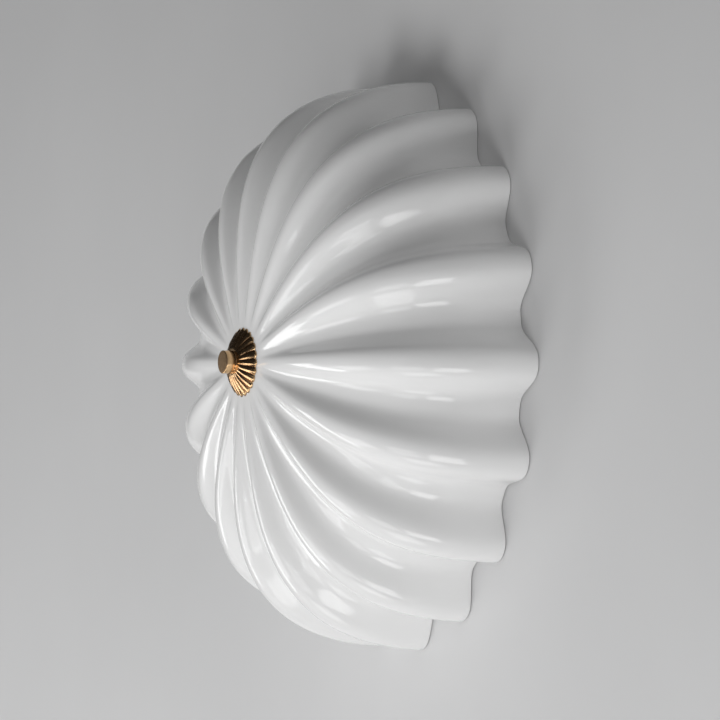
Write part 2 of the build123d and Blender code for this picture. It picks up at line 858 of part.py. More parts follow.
with BuildPart() as fixing_screw:
    with BuildSketch(turned_plane(fixing_x, block_middle_z)):
        with BuildLine():
            Polyline(
                (0, boss_lift - fixing_screw_reach),
                (fixing_screw_radius, boss_lift - fixing_screw_reach + fixing_screw_radius),
                (fixing_screw_radius, seat_start),
                (fixing_head_radius, seat_start),
                (fixing_head_radius, seat_start + fixing_head_height / 2),
                (fixing_head_radius * screw_top_share, seat_start + fixing_head_height),
                (0, seat_start + fixing_head_height),
                close=True,
            )
        make_face()
    revolve(axis=out_axis(fixing_x, block_middle_z))
save(fixing_screw.part, "fixing_screw")

tag_barrel_start = earth_z + tag_radius
with BuildPart() as earth_tag:
    with BuildSketch(wall_plane(plate_face)):
        with Locations((earth_x, earth_z)):
            Circle(tag_radius)
        with Locations((earth_x, earth_z + tag_radius)):
            Rectangle(2 * tag_barrel_radius, tag_neck_length)
        with Locations((earth_x, earth_z)):
            Circle(bracket_screw_radius + screw_hole_gap, mode=Mode.SUBTRACT)
    extrude(amount=tag_thickness)
    tag_wire_out = plate_face + tag_barrel_radius
    with BuildSketch(level_plane(earth_x, tag_wire_out, tag_barrel_start)):
        Circle(tag_barrel_radius)
    extrude(amount=tag_barrel_length)
save(earth_tag.part, "earth_tag")

tag_top = plate_face + tag_thickness
with BuildPart() as earth_screw:
    with BuildSketch(turned_plane(earth_x, earth_z)):
        with BuildLine():
            Polyline(
                (0, screw_tip),
                (bracket_screw_radius, screw_tip),
                (bracket_screw_radius, tag_top),
                (bracket_screw_head_radius, tag_top),
                (bracket_screw_head_radius, tag_top + bracket_screw_head_height / 2),
                (bracket_screw_head_radius * screw_top_share, tag_top + bracket_screw_head_height),
                (0, tag_top + bracket_screw_head_height),
                close=True,
            )
        make_face()
    revolve(axis=out_axis(earth_x, earth_z))
save(earth_screw.part, "earth_screw")


# ---------------------------------------------------------------- wires


def bend_radii(points):
    """Each bend's radius: as large as its two runs allow."""
    radii = []
    for before, corner, after in zip(points, points[1:], points[2:]):
        first = Vector(*corner) - Vector(*before)
        second = Vector(*after) - Vector(*corner)
        turn = math.radians(first.get_angle(second))
        radii.append(bend_share * min(first.length, second.length) / math.tan(turn / 2))
    print("bend radii", [round(radius, 1) for radius in radii])
    return radii


def wire(points, radius):
    """A round wire along straight runs joined by arcs."""
    with BuildPart() as lead:
        with BuildLine() as route:
            FilletPolyline(*points, radius=bend_radii(points))
        with BuildSketch(Plane(origin=route.line @ 0, z_dir=route.line % 0)):
            Circle(radius)
        sweep()
    return lead.part


inner_end = socket_floor
entry_z = block_top + wire_entry
wire_end_z = block_middle_z + insert_web / 2 + fit_gap
neutral_x = pole_xs[0]
live_x = pole_xs[1]
earth_pole_x = pole_xs[2]

left_leads = (
    (
        (-inner_end, -lamp_out, -wire_spread),
        (-lower_bend_reach, -lamp_out, -wire_spread),
        (neutral_x - wire_pair, -wire_out, entry_z),
        (neutral_x - wire_pair, -wire_out, wire_end_z),
    ),
    (
        (-inner_end, -lamp_out, wire_spread),
        (-upper_bend_reach, -lamp_out, wire_spread),
        (live_x - wire_pair, -wire_out, entry_z),
        (live_x - wire_pair, -wire_out, wire_end_z),
    ),
)
right_leads = (
    (
        (inner_end, -lamp_out, -wire_spread),
        (lower_bend_reach, -lamp_out, -wire_spread),
        (live_x + wire_pair, -wire_out, entry_z),
        (live_x + wire_pair, -wire_out, wire_end_z),
    ),
    (
        (inner_end, -lamp_out, wire_spread),
        (upper_bend_reach, -lamp_out, wire_spread),
        (cross_reach, -cross_out, -cross_drop),
        (neutral_x + wire_pair, -wire_out, block_top + crossing_entry),
        (neutral_x + wire_pair, -wire_out, wire_end_z),
    ),
)
for name, leads in (("left", left_leads), ("right", right_leads)):
    with BuildPart() as pair:
        add([wire(points, wire_radius) for points in leads])
    save(pair.part, f"leads_{name}")

earth_route = (
    (earth_pole_x, -wire_out, wire_end_z),
    (earth_pole_x, -wire_out, -earth_loop_drop),
    (earth_x, -tag_wire_out, -earth_loop_drop),
    (earth_x, -tag_wire_out, tag_barrel_start + tag_barrel_length),
)
save(wire(earth_route, earth_wire_radius), "earth_lead")
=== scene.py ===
# %% [markdown]
# # A fluted ceramic wall light
# The light is a white glazed dome with eighteen flutes. A pleated brass cap and a round brass knob hold it
# on a threaded stem, and behind it sit a steel plate, two lampholders with their lamps, and the wiring. The
# construction model gives every piece at its real size and place. This lesson gives the pieces their looks.
# The first step loads that model.

# %% Load the construction model
import json
import math

import bpy
from mathutils import Matrix, Vector


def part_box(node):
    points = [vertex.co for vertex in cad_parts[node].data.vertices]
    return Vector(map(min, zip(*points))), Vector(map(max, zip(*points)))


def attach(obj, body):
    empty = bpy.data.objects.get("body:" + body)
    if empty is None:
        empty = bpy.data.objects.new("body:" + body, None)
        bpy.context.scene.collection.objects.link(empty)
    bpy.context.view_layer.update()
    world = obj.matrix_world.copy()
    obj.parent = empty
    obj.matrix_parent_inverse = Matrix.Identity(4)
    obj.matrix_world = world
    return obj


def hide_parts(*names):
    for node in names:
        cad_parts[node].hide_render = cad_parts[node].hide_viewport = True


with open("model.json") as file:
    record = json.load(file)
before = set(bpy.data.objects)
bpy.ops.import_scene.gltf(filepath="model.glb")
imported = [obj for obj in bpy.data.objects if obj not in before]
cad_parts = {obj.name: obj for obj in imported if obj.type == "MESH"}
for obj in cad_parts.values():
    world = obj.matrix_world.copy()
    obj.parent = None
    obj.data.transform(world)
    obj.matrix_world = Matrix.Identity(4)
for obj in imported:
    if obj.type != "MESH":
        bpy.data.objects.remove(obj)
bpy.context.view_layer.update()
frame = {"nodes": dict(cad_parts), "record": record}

MM = 0.001
print("pieces in the construction model:", len(frame["nodes"]))

# %% [markdown]
# ## The camera
# The light was seen from its right-hand side, a little below its own level on the picture, with a long
# lens. A camera could be placed by eye. Here its place comes from the middle of the dome's rim instead: how
# far round the light it stands, how far off, and at which pixel the rim's middle lies. That keeps the
# picture's perspective.

# %% Camera
picture_px = 720
sensor_width = 36.0
lens_px = 4744.2
camera_azimuth = math.radians(63.43)
camera_distance = 2.9077
camera_roll = math.radians(1.283)
rim_middle_px = (403.6, 366.0)

rim_gap = -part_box("shade")[1][1]
rim_middle = Vector((0, -rim_gap, 0))
outward = Vector((math.sin(camera_azimuth), -math.cos(camera_azimuth), 0))
up = Vector((0, 0, 1))
right = up.cross(outward)
place = Matrix((right, up, outward)).transposed().to_4x4()
place.translation = rim_middle + outward * camera_distance
middle_px = picture_px / 2
yaw = math.atan((rim_middle_px[0] - middle_px) / lens_px)
pitch = math.atan((rim_middle_px[1] - middle_px) / lens_px * math.cos(yaw))
turn = (
    Matrix.Rotation(camera_roll, 4, "Z") @ Matrix.Rotation(pitch, 4, "X") @ Matrix.Rotation(yaw, 4, "Y")
)

camera_data = bpy.data.cameras.new("camera")
camera_data.sensor_width = sensor_width
camera_data.lens = lens_px / picture_px * sensor_width
camera = bpy.data.objects.new("camera", camera_data)
camera.matrix_world = place @ turn
bpy.context.scene.collection.objects.link(camera)
bpy.context.scene.camera = camera
print("lens in mm:", round(camera_data.lens, 1))

# %% [markdown]
# ## The wall behind
# The dome throws a soft shadow on the wall that it hangs on, and the wall throws light back at it, so a
# plain pale wall belongs in the picture. It is only a stage. Seen from behind it is clear, and it lets a
# light behind it through, so that the back of the dome and the plate can be looked at as well. A plain
# colour would do, but towards its foot the paint is made a little paler than the lights alone would make
# it: this is painted light, a gradient in the wall's colour that stands in for more light falling low down.

# %% Wall
wall_size = 6.0
wall_offset = 0.3 * MM
# Painted light and shade: the heights at which the wall's colour is palest and darkest.
painted_light_height = -0.25
painted_shade_height = 0.25
marks_share = 0.4


def new_material(name):
    """A material with an empty node tree, its shader and its output."""
    material = bpy.data.materials.new(name)
    material.use_nodes = True
    nodes = material.node_tree.nodes
    shader = nodes["Principled BSDF"]
    return material, nodes, material.node_tree.links, shader


def set_inputs(node, **values):
    """Set a node's sockets by name; an underscore in a name stands for a space."""
    for name, value in values.items():
        node.inputs[name.replace("_", " ")].default_value = value


def mesh_object(name, vertices, faces, smooth=True):
    """A new mesh object, linked into the scene."""
    mesh = bpy.data.meshes.new(name)
    mesh.from_pydata(vertices, [], faces)
    mesh.update()
    if smooth:
        mesh.shade_smooth()
    piece = bpy.data.objects.new(name, mesh)
    bpy.context.scene.collection.objects.link(piece)
    return piece


def wall_material():
    """Pale matt wall paint, faintly clouded, with painted light that makes it a little paler low down;
    clear from behind.
    """
    material, nodes, links, shader = new_material("wall_paint_painted_light")
    set_inputs(shader, Roughness=0.85)
    place = nodes.new("ShaderNodeTexCoord")
    marks = nodes.new("ShaderNodeTexNoise")
    set_inputs(marks, Scale=5.0, Detail=4.0)
    split = nodes.new("ShaderNodeSeparateXYZ")
    # Painted light: the wall's colour goes paler towards its foot and darker towards its top.
    painted_light_fade = nodes.new("ShaderNodeMapRange")
    set_inputs(painted_light_fade, From_Min=painted_shade_height, From_Max=painted_light_height, To_Min=-0.2, To_Max=0.7)
    clouds_and_painted_light = nodes.new("ShaderNodeMath")
    clouds_and_painted_light.operation = "MULTIPLY_ADD"
    clouds_and_painted_light.inputs[1].default_value = marks_share
    ramp = nodes.new("ShaderNodeValToRGB")
    ramp.color_ramp.elements[0].color = (0.56, 0.56, 0.562, 1)
    ramp.color_ramp.elements[1].color = (0.70, 0.70, 0.702, 1)
    links.new(place.outputs["Object"], marks.inputs["Vector"])
    links.new(place.outputs["Object"], split.inputs["Vector"])
    links.new(split.outputs["Z"], painted_light_fade.inputs["Value"])
    links.new(marks.outputs["Fac"], clouds_and_painted_light.inputs[0])
    links.new(painted_light_fade.outputs["Result"], clouds_and_painted_light.inputs[2])
    links.new(clouds_and_painted_light.outputs["Value"], ramp.inputs["Fac"])
    links.new(ramp.outputs["Color"], shader.inputs["Base Color"])
    clear = nodes.new("ShaderNodeBsdfTransparent")
    side = nodes.new("ShaderNodeNewGeometry")
    path = nodes.new("ShaderNodeLightPath")
    either = nodes.new("ShaderNodeMath")
    either.operation = "MAXIMUM"
    mix = nodes.new("ShaderNodeMixShader")
    links.new(side.outputs["Backfacing"], either.inputs[0])
    links.new(path.outputs["Is Shadow Ray"], either.inputs[1])
    links.new(either.outputs["Value"], mix.inputs["Fac"])
    links.new(shader.outputs["BSDF"], mix.inputs[1])
    links.new(clear.outputs["BSDF"], mix.inputs[2])
    links.new(mix.outputs["Shader"], nodes["Material Output"].inputs["Surface"])
    return material


half = wall_size / 2
wall_places = ((-half, -half), (half, -half), (half, half), (-half, half))
wall_corners = [(x, wall_offset, z) for x, z in wall_places]
wall = mesh_object("wall", wall_corners, [(0, 1, 2, 3)], smooth=False)
wall.data.materials.append(wall_material())
print("wall faces the room:", wall.data.polygons[0].normal.y < 0)

# %% [markdown]
# ## The lights
# The glaze shows long streaks along the lower side of each flute, in pairs, with a paler band between. Such
# a pair is one wide soft light seen in a curved glossy surface: its two edges are brighter than its middle.
# A single big light would give one wide blur. So the left and right panels here are dim, with a brighter
# strip along the top and bottom edges, and they stand below the dome and in front of it. The fills only
# brighten the clay: they are kept out of reflections, so that the upper side of the brass cap mirrors a
# dark room. Two faint glows do show in the brass: one for the knob's flat face and one for the cap's
# ridges. The back fill stands behind the wall and is there for views from behind.

# %% Lights
light_distance = 2.6
aim_point = Vector((0, -0.06, 0))


def direction(azimuth, elevation):
    """From the light towards the room: azimuth 0 is straight out, positive to the right."""
    a, e = math.radians(azimuth), math.radians(elevation)
    return Vector((math.sin(a) * math.cos(e), -math.cos(a) * math.cos(e), math.sin(e)))


def soft_light(name, azimuth, elevation, width, height, power, mirrored=True):
    """A rectangular light that faces the dome; its width lies level. It may be left out of reflections."""
    lamp = bpy.data.lights.new(name, "AREA")
    lamp.shape = "RECTANGLE"
    lamp.size = width
    lamp.size_y = height
    lamp.energy = power
    piece = bpy.data.objects.new(name, lamp)
    back = direction(azimuth, elevation)
    side = up.cross(back).normalized()
    axes = Matrix((side, back.cross(side), back)).transposed().to_4x4()
    axes.translation = aim_point + back * light_distance
    piece.matrix_world = axes
    piece.visible_glossy = mirrored
    bpy.context.scene.collection.objects.link(piece)
    return piece


soft_light("left_column", -50, -27, 0.6, 1.8, 16)
soft_light("left_panel", -17, -33, 1.3, 0.7, 7)
soft_light("left_panel_top", -17, -25, 1.3, 0.06, 1.5)
soft_light("left_panel_foot", -17, -41, 1.3, 0.06, 1.5)
soft_light("left_fill", -17, -33, 1.3, 0.7, 10, mirrored=False)
soft_light("right_panel", 35, -33, 1.1, 0.7, 5)
soft_light("right_panel_top", 35, -25, 1.1, 0.06, 1.5)
soft_light("right_panel_foot", 35, -41, 1.1, 0.06, 1.5)
soft_light("right_fill", 35, -33, 1.1, 0.7, 5, mirrored=False)
soft_light("side_panel", 72, -37, 1.0, 1.0, 16)
soft_light("floor_panel", 36, -66, 1.0, 0.9, 8)
soft_light("front_fill", 12, 18, 2.2, 1.8, 12.5, mirrored=False)
soft_light("front_glow", 30, 8, 1.0, 0.7, 1.2)
soft_light("left_glow", -66, 0, 1.0, 0.6, 0.4)
soft_light("back_fill", 150, 20, 1.5, 1.5, 12)

world = bpy.data.worlds.new("room")
world.use_nodes = True
bpy.context.scene.world = world
sky = world.node_tree.nodes["Background"]
set_inputs(sky, Color=(0.82, 0.84, 0.87, 1), Strength=0.03)
scene = bpy.context.scene
scene.view_settings.view_transform = "Standard"

# %% [markdown]
# ## The fluted dome
# The real dome is slip-cast in a mould: a smooth flat seat in the middle, then eighteen rounded flutes that
# grow out of it and run down to a wavy rim. A sculpted or subdivided mesh would do, but each flute is the
# same curve, so two curves and a wave say it all: one profile over a crest, one along a valley, and a wave
# that goes from one to the other and back. The profiles are Bezier curves. The rim is cut flat, and its two
# edges are softened.

# %% Dome profile
rim_radius = 175.0
dome_height = 108.5
shade_wall = 5.0
flute_count = 18
flute_depth = 20.3
seat_radius = 22.0
hole_radius = 7.0
first_crest_angle = math.radians(1.1)
gap = rim_gap / MM
narrower_crest = 0.05
broader_valley = 0.0877

crest_shares = ((0.0, 1.0), (0.256, 1.0), (0.622, 1.017), (0.887, 0.842), (0.986, 0.451), (1.0, 0.0))
valley_steps = ((0.0, 0.0), (-0.05, -0.06), (-0.7, -0.76), (-0.65, -0.29), (-0.74, 0.04), (-1.0, 0.0))
inward_steps = ((0.0, -1.0), (0.0, -1.0), (-0.36, -0.88), (-0.76, -0.52), (-1.0, -0.08), (-1.0, 0.0))
crest_points = [
    Vector((seat_radius + share * (rim_radius - seat_radius), gap + rise * dome_height))
    for share, rise in crest_shares
]


def wave(phase):
    """0 on a crest and 1 in a valley, with a broad valley."""
    first = (1 - math.cos(phase)) / 2
    second = (1 - math.cos(2 * phase)) / 2
    third = (math.cos(phase) - math.cos(3 * phase)) / 2
    return first + narrower_crest * second - broader_valley * third


def moved(points, steps, amount):
    """Control points, each moved by its step times an amount."""
    return [point + Vector(step) * amount for point, step in zip(points, steps)]


def bezier(points, share):
    """The point at a share of the way along a Bezier curve."""
    points = list(points)
    while len(points) > 1:
        points = [a.lerp(b, share) for a, b in zip(points, points[1:])]
    return points[0]


outer_steps = 84
inner_steps = 40
seat_steps = 6
edge_steps = 4
rim_edge = 0.4
hole_edge = 0.6


def rounded(middle, radius, start, end, steps):
    """Points along an arc, from one angle to another in quarter turns."""
    angles = [math.pi / 2 * (start + (end - start) * step / steps) for step in range(steps + 1)]
    return [middle + Vector((math.cos(angle), math.sin(angle))) * radius for angle in angles]


def shade_section(amount):
    """The closed outline of the dome's wall, from the hole's inner edge round the rim and back."""
    outer = moved(crest_points, valley_steps, flute_depth * amount)
    inner = moved(outer, inward_steps, shade_wall)
    seat = gap + dome_height
    under = seat - shade_wall
    section = rounded(Vector((hole_radius + hole_edge, under + hole_edge)), hole_edge, 3, 2, edge_steps)
    section += rounded(Vector((hole_radius + hole_edge, seat - hole_edge)), hole_edge, 2, 1, edge_steps)
    for step in range(1, seat_steps):
        reach = hole_radius + (seat_radius - hole_radius) * step / seat_steps
        section.append(Vector((reach, seat)))
    side = [bezier(outer, step / outer_steps) for step in range(outer_steps + 1)]
    section += [point for point in side if point.y > gap + rim_edge]
    section += rounded(Vector((outer[-1].x - rim_edge, gap + rim_edge)), rim_edge, 0, -1, edge_steps)
    section += rounded(Vector((inner[-1].x + rim_edge, gap + rim_edge)), rim_edge, -1, -2, edge_steps)
    side = [bezier(inner, 1 - step / inner_steps) for step in range(inner_steps + 1)]
    section += [point for point in side if point.y > gap + rim_edge]
    return section


print("points in the section over a crest:", len(shade_section(0)))

# %% Dome mesh
columns_per_flute = 32
CM3_PER_M3 = 1e6


def ring_surface(name, sections):
    """A surface through equal closed sections round the stem, each a list of (radius, out) at its angle."""
    rows = len(sections[0][1])
    vertices = []
    for angle, section in sections:
        for point in section:
            reach = point.x * MM
            vertices.append((reach * math.cos(angle), -point.y * MM, reach * math.sin(angle)))
    faces = []
    count = len(sections)
    for column in range(count):
        following = (column + 1) % count
        for row in range(rows):
            below = (row + 1) % rows
            near, far = column * rows, following * rows
            faces.append((near + row, near + below, far + below, far + row))
    return mesh_object(name, vertices, faces)


def volume_cm3(piece):
    """The volume that a closed mesh encloses; it is negative when the mesh is inside out."""
    volume = 0.0
    for polygon in piece.data.polygons:
        corners = [piece.data.vertices[i].co for i in polygon.vertices]
        for a, b in zip(corners[1:], corners[2:]):
            volume += corners[0].dot(a.cross(b)) / 6
    return volume * CM3_PER_M3


columns = flute_count * columns_per_flute
shade_sections = []
for column in range(columns):
    phase = 2 * math.pi * column / columns_per_flute
    angle = first_crest_angle + 2 * math.pi * column / columns
    shade_sections.append((angle, shade_section(wave(phase))))
shade = ring_surface("fluted_dome", shade_sections)
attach(shade, "shade")
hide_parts("shade")
print("dome volume in cm3:", round(volume_cm3(shade), 1))

# %% [markdown]
# ## The pleated cap
# The cap is pressed from thin brass: twenty-four round pleats run from the knob to a scalloped edge, with
# narrow grooves between. A bump map would leave the edge straight, so the pleats are modelled. Across a
# pleat the surface follows the size of a cosine, which is round on top and sharp in the groove.

# %% Pleated cap
pleat_count = 24
columns_per_pleat = 12
cap_rows = 14
gasket = 1.0
recess = 0.8
cap_out = gap + dome_height + gasket - recess
cap_edge = Vector((21.0, 0.0))
cap_shoulder = Vector((15.3, 4.1))
cap_crown = Vector((8.2, 6.9))
pleat_depth = 1.5
pleat_fade = 0.75
groove_sink = 0.35
groove_sharpness = 0.9
cap_hole = 4.3
cap_hole_edge = 0.2
recess_radius = 17.8


def arc_through(a, b, c, share):
    """The point at a share of the way along the arc from a to c through b."""
    aa, bb, cc = (point.length_squared for point in (a, b, c))
    d = 2 * (a.x * (b.y - c.y) + b.x * (c.y - a.y) + c.x * (a.y - b.y))
    x = (aa * (b.y - c.y) + bb * (c.y - a.y) + cc * (a.y - b.y)) / d
    y = (aa * (c.x - b.x) + bb * (a.x - c.x) + cc * (b.x - a.x)) / d
    middle = Vector((x, y))
    start, end = (math.atan2((p - middle).y, (p - middle).x) for p in (a, c))
    angle = start + (end - start) * share
    return middle + Vector((math.cos(angle), math.sin(angle))) * (a - middle).length


def cap_section(groove):
    """The cap's wall at one angle; groove is 0 on a ridge and 1 in a groove."""
    section = []
    for row in range(cap_rows + 1):
        share = row / cap_rows
        point = arc_through(cap_edge, cap_shoulder, cap_crown, share)
        point.x -= pleat_depth * groove * (1 - pleat_fade * share)
        point.y -= groove_sink * groove * math.sin(math.pi * share)
        section.append(Vector((point.x, cap_out + max(point.y, 0.0))))
    section.append(Vector((cap_hole + cap_hole_edge, cap_out + cap_crown.y)))
    section.append(Vector((cap_hole, cap_out + cap_crown.y - cap_hole_edge)))
    section.append(Vector((cap_hole, cap_out + recess)))
    section.append(Vector((recess_radius, cap_out + recess)))
    section.append(Vector((recess_radius, cap_out)))
    section.reverse()
    return section


cap_columns = pleat_count * columns_per_pleat
cap_sections = []
for column in range(cap_columns):
    groove = 1 - abs(math.cos(math.pi * column / columns_per_pleat)) ** groove_sharpness
    cap_sections.append((2 * math.pi * column / cap_columns, cap_section(groove)))
cap = ring_surface("pleated_brass_cap", cap_sections)
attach(cap, "cap")
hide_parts("pleated_cap")
print("cap volume in cm3:", round(volume_cm3(cap), 2))

# %% [markdown]
# ## The knob
# The knob is turned on a lathe: a plain short cylinder with a broken edge, a thin groove at its foot, and a
# blind hole for the stem. One profile spun round is what the lathe does, so that is how it is made.

# %% Knob
knob_out = cap_out + cap_crown.y
knob_radius = 7.0
knob_length = 6.3
knob_bore = 4.05
knob_bore_depth = 4.7
foot = 0.6
groove_width = 0.4
groove_depth = 0.35
face_edge = 0.35
face_edge_rows = 5
small_edge_rows = 2
base_edge = 0.15
groove_edge = 0.12
bore_edge = 0.2
knob_columns = 96


def rounded_corner(corner, before, after, radius, rows):
    """Points that round a corner of a profile; before and after are unit steps away from it."""
    middle = corner + before * radius + after * radius
    points = []
    for row in range(rows + 1):
        angle = math.pi / 2 * row / rows
        points.append(middle - after * radius * math.cos(angle) - before * radius * math.sin(angle))
    return points


def knob_section():
    """The knob's profile, from the bore's mouth outwards and up to the middle of its face."""
    out = Vector((0, 1))
    away = Vector((1, 0))
    face_out = knob_out + knob_length
    start = knob_out + foot
    inside = knob_radius - groove_depth
    section = [Vector((knob_bore, knob_out + knob_bore_depth)), Vector((knob_bore, knob_out + bore_edge))]
    section.append(Vector((knob_bore + bore_edge, knob_out)))
    section += rounded_corner(Vector((knob_radius, knob_out)), -away, out, base_edge, small_edge_rows)
    section += rounded_corner(Vector((knob_radius, start)), -out, -away, groove_edge, small_edge_rows)
    section.append(Vector((inside, start)))
    section.append(Vector((inside, start + groove_width)))
    groove_end = Vector((knob_radius, start + groove_width))
    section += rounded_corner(groove_end, -away, out, groove_edge, small_edge_rows)
    section += rounded_corner(Vector((knob_radius, face_out)), -out, -away, face_edge, face_edge_rows)
    return section


def spun(name, section, columns):
    """A profile of (radius, out) spun round the stem's axis; a flat fan closes each end."""
    vertices = []
    faces = []
    rows = len(section)
    for column in range(columns):
        angle = 2 * math.pi * column / columns
        for point in section:
            vertices.append((point.x * math.cos(angle) * MM, -point.y * MM, point.x * math.sin(angle) * MM))
    for column in range(columns):
        following = (column + 1) % columns
        for row in range(rows - 1):
            near, far = column * rows, following * rows
            faces.append((near + row, far + row, far + row + 1, near + row + 1))
    for row, flip in ((0, False), (rows - 1, True)):
        hub = len(vertices)
        vertices.append((0.0, -section[row].y * MM, 0.0))
        for column in range(columns):
            a, b = column * rows + row, ((column + 1) % columns) * rows + row
            faces.append((hub, a, b) if flip else (hub, b, a))
    return mesh_object(name, vertices, faces)


knob = spun("brass_knob", knob_section(), knob_columns)
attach(knob, "knob")
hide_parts("finial_knob")
print("knob volume in cm3:", round(volume_cm3(knob), 3))

# %% [markdown]
# ## Shared effects
# Several finishes need the same few effects: soft cloudy variation, the fine lines that brushing leaves,
# and ridges that were rubbed bright. Each effect is a node group with named sockets, built once, and every
# material sets its own values. A group gives out only a mask; the material decides what the mask changes.

# %% Effect groups


def effect_group(name, inputs):
    """An empty node group with named number inputs, which gives out one mask."""
    group = bpy.data.node_groups.new(name, "ShaderNodeTree")
    for label, value in inputs.items():
        socket = group.interface.new_socket(name=label, in_out="INPUT", socket_type="NodeSocketFloat")
        socket.default_value = value
    group.interface.new_socket(name="Mask", in_out="OUTPUT", socket_type="NodeSocketFloat")
    entry = group.nodes.new("NodeGroupInput")
    leaving = group.nodes.new("NodeGroupOutput")
    return group, entry, leaving


def cloud_group():
    """Soft cloudy variation through the solid: glaze, paint and moulded plastic are never quite even."""
    group, entry, leaving = effect_group("Cloudiness", {"Scale": 40.0, "Detail": 3.0, "Contrast": 1.0})
    place = group.nodes.new("ShaderNodeTexCoord")
    noise = group.nodes.new("ShaderNodeTexNoise")
    centre = group.nodes.new("ShaderNodeMath")
    centre.operation = "SUBTRACT"
    centre.inputs[1].default_value = 0.5
    spread = group.nodes.new("ShaderNodeMath")
    spread.operation = "MULTIPLY_ADD"
    spread.use_clamp = True
    spread.inputs[2].default_value = 0.5
    group.links.new(place.outputs["Object"], noise.inputs["Vector"])
    group.links.new(entry.outputs["Scale"], noise.inputs["Scale"])
    group.links.new(entry.outputs["Detail"], noise.inputs["Detail"])
    group.links.new(noise.outputs["Fac"], centre.inputs[0])
    group.links.new(centre.outputs["Value"], spread.inputs[0])
    group.links.new(entry.outputs["Contrast"], spread.inputs[1])
    group.links.new(spread.outputs["Value"], leaving.inputs["Mask"])
    return group


def turned_lines_group():
    """Fine rings about the stem's axis, as a lathe or a brush on a lathe leaves them."""
    group, entry, leaving = effect_group("Turned lines", {"Rings": 6000.0, "Length": 8.0, "Contrast": 1.0})
    place = group.nodes.new("ShaderNodeTexCoord")
    split = group.nodes.new("ShaderNodeSeparateXYZ")
    flat = group.nodes.new("ShaderNodeCombineXYZ")
    reach = group.nodes.new("ShaderNodeVectorMath")
    reach.operation = "LENGTH"
    around = group.nodes.new("ShaderNodeMath")
    around.operation = "ARCTAN2"
    across = group.nodes.new("ShaderNodeMath")
    across.operation = "ADD"
    rings = group.nodes.new("ShaderNodeMath")
    rings.operation = "MULTIPLY"
    length = group.nodes.new("ShaderNodeMath")
    length.operation = "MULTIPLY"
    where = group.nodes.new("ShaderNodeCombineXYZ")
    noise = group.nodes.new("ShaderNodeTexNoise")
    noise.noise_dimensions = "2D"
    set_inputs(noise, Scale=1.0, Detail=2.0)
    centre = group.nodes.new("ShaderNodeMath")
    centre.operation = "SUBTRACT"
    centre.inputs[1].default_value = 0.5
    spread = group.nodes.new("ShaderNodeMath")
    spread.operation = "MULTIPLY_ADD"
    spread.use_clamp = True
    spread.inputs[2].default_value = 0.5
    group.links.new(place.outputs["Object"], split.inputs["Vector"])
    group.links.new(split.outputs["X"], flat.inputs["X"])
    group.links.new(split.outputs["Z"], flat.inputs["Z"])
    group.links.new(flat.outputs["Vector"], reach.inputs[0])
    group.links.new(split.outputs["Z"], around.inputs[0])
    group.links.new(split.outputs["X"], around.inputs[1])
    group.links.new(reach.outputs["Value"], across.inputs[0])
    group.links.new(split.outputs["Y"], across.inputs[1])
    group.links.new(across.outputs["Value"], rings.inputs[0])
    group.links.new(entry.outputs["Rings"], rings.inputs[1])
    group.links.new(around.outputs["Value"], length.inputs[0])
    group.links.new(entry.outputs["Length"], length.inputs[1])
    group.links.new(rings.outputs["Value"], where.inputs["X"])
    group.links.new(length.outputs["Value"], where.inputs["Y"])
    group.links.new(where.outputs["Vector"], noise.inputs["Vector"])
    group.links.new(noise.outputs["Fac"], centre.inputs[0])
    group.links.new(centre.outputs["Value"], spread.inputs[0])
    group.links.new(entry.outputs["Contrast"], spread.inputs[1])
    group.links.new(spread.outputs["Value"], leaving.inputs["Mask"])
    return group


def edge_group():
    """1 on raised edges and ridges and 0 in hollows, from how sharply the surface turns."""
    group, entry, leaving = effect_group("Raised edges", {"Start": 0.5, "End": 0.56})
    shape = group.nodes.new("ShaderNodeNewGeometry")
    spread = group.nodes.new("ShaderNodeMapRange")
    group.links.new(shape.outputs["Pointiness"], spread.inputs["Value"])
    group.links.new(entry.outputs["Start"], spread.inputs["From Min"])
    group.links.new(entry.outputs["End"], spread.inputs["From Max"])
    group.links.new(spread.outputs["Result"], leaving.inputs["Mask"])
    return group


cloudiness = cloud_group()
turned_lines = turned_lines_group()
raised_edges = edge_group()


def add_effect(nodes, group, **values):
    """Place an effect group in a material with its own values, and give its mask."""
    node = nodes.new("ShaderNodeGroup")
    node.node_tree = group
    set_inputs(node, **values)
    return node.outputs["Mask"]


def color_between(nodes, links, mask, low, high):
    """A colour that goes from low to high as the mask goes from 0 to 1."""
    mix = nodes.new("ShaderNodeMix")
    mix.data_type = "RGBA"
    mix.inputs["A"].default_value = (*low, 1)
    mix.inputs["B"].default_value = (*high, 1)
    links.new(mask, mix.inputs["Factor"])
    return mix.outputs["Result"]


def number_between(nodes, links, mask, low, high):
    """A number that goes from low to high as the mask goes from 0 to 1."""
    spread = nodes.new("ShaderNodeMapRange")
    set_inputs(spread, To_Min=low, To_Max=high)
    links.new(mask, spread.inputs["Value"])
    return spread.outputs["Result"]


def add_bump(nodes, links, shader, mask, strength, depth):
    """Let a mask raise the surface by a depth in metres; more bumps can be chained."""
    bump = nodes.new("ShaderNodeBump")
    set_inputs(bump, Strength=strength, Distance=depth)
    links.new(mask, bump.inputs["Height"])
    socket = shader.inputs["Normal"]
    if socket.is_linked:
        links.new(socket.links[0].from_socket, bump.inputs["Normal"])
    links.new(bump.outputs["Normal"], socket)


print("effect groups:", [group.name for group in (cloudiness, turned_lines, raised_edges)])

# %% [markdown]
# ## Glazed ceramic
# The glaze is a thin layer of clear glass on white clay. It is smooth but not flat: it keeps faint ripples
# from the mould and from flowing in the kiln, and they bend the reflections. It could be modelled as a
# second skin of glass. A white body with a soft shine and a thin clear coat looks the same from outside and
# is far simpler.

# %% Glazed ceramic


